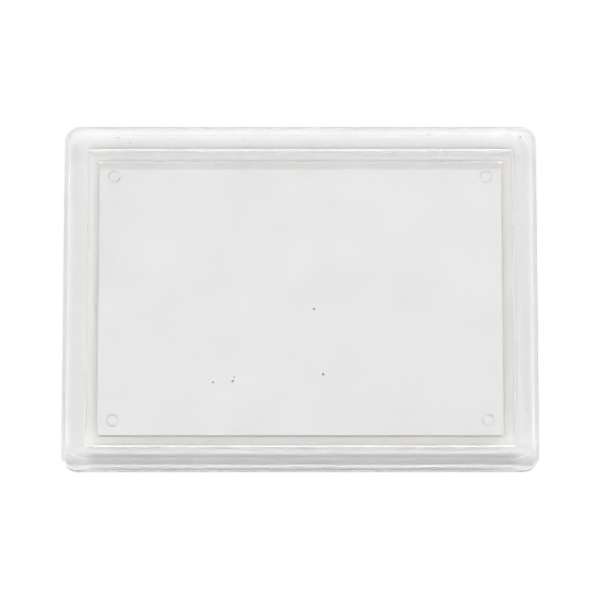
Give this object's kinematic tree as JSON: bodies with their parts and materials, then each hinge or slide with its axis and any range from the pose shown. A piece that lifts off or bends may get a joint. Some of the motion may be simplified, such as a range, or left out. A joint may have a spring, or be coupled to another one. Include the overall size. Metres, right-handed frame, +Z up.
{
  "type": "magnetic photo frame",
  "caption": "Clear moulded plastic photo frame with a crowned rim, a press-in back insert and a flexible magnet sheet that holds it on a steel door.",
  "frame": {"origin": "centre of the magnet sheet's back face, which lies on the steel surface", "axes": "+X along the frame's width, +Z up, +Y from the window back into the steel"},
  "size_m": [0.1116, 0.0081, 0.0816],
  "materials": {
    "clear_shell_plastic": "clear polished plastic moulding",
    "clear_insert_plastic": "clear polished plastic moulding",
    "white_foam": "matt white closed-cell foam tape",
    "ferrite_rubber": "matt dark brown flexible magnet"
  },
  "bodies": {
    "insert": {"back_insert": "clear_insert_plastic", "foam_tape": "white_foam", "magnet_sheet": "ferrite_rubber"},
    "shell": {"front_shell": "clear_shell_plastic"}
  },
  "joints": [
    {"name": "shell_pull", "type": "slide", "parent": "insert", "child": "shell", "axis": [0, -1, 0], "range_m": [0, 0.02]}
  ]
}
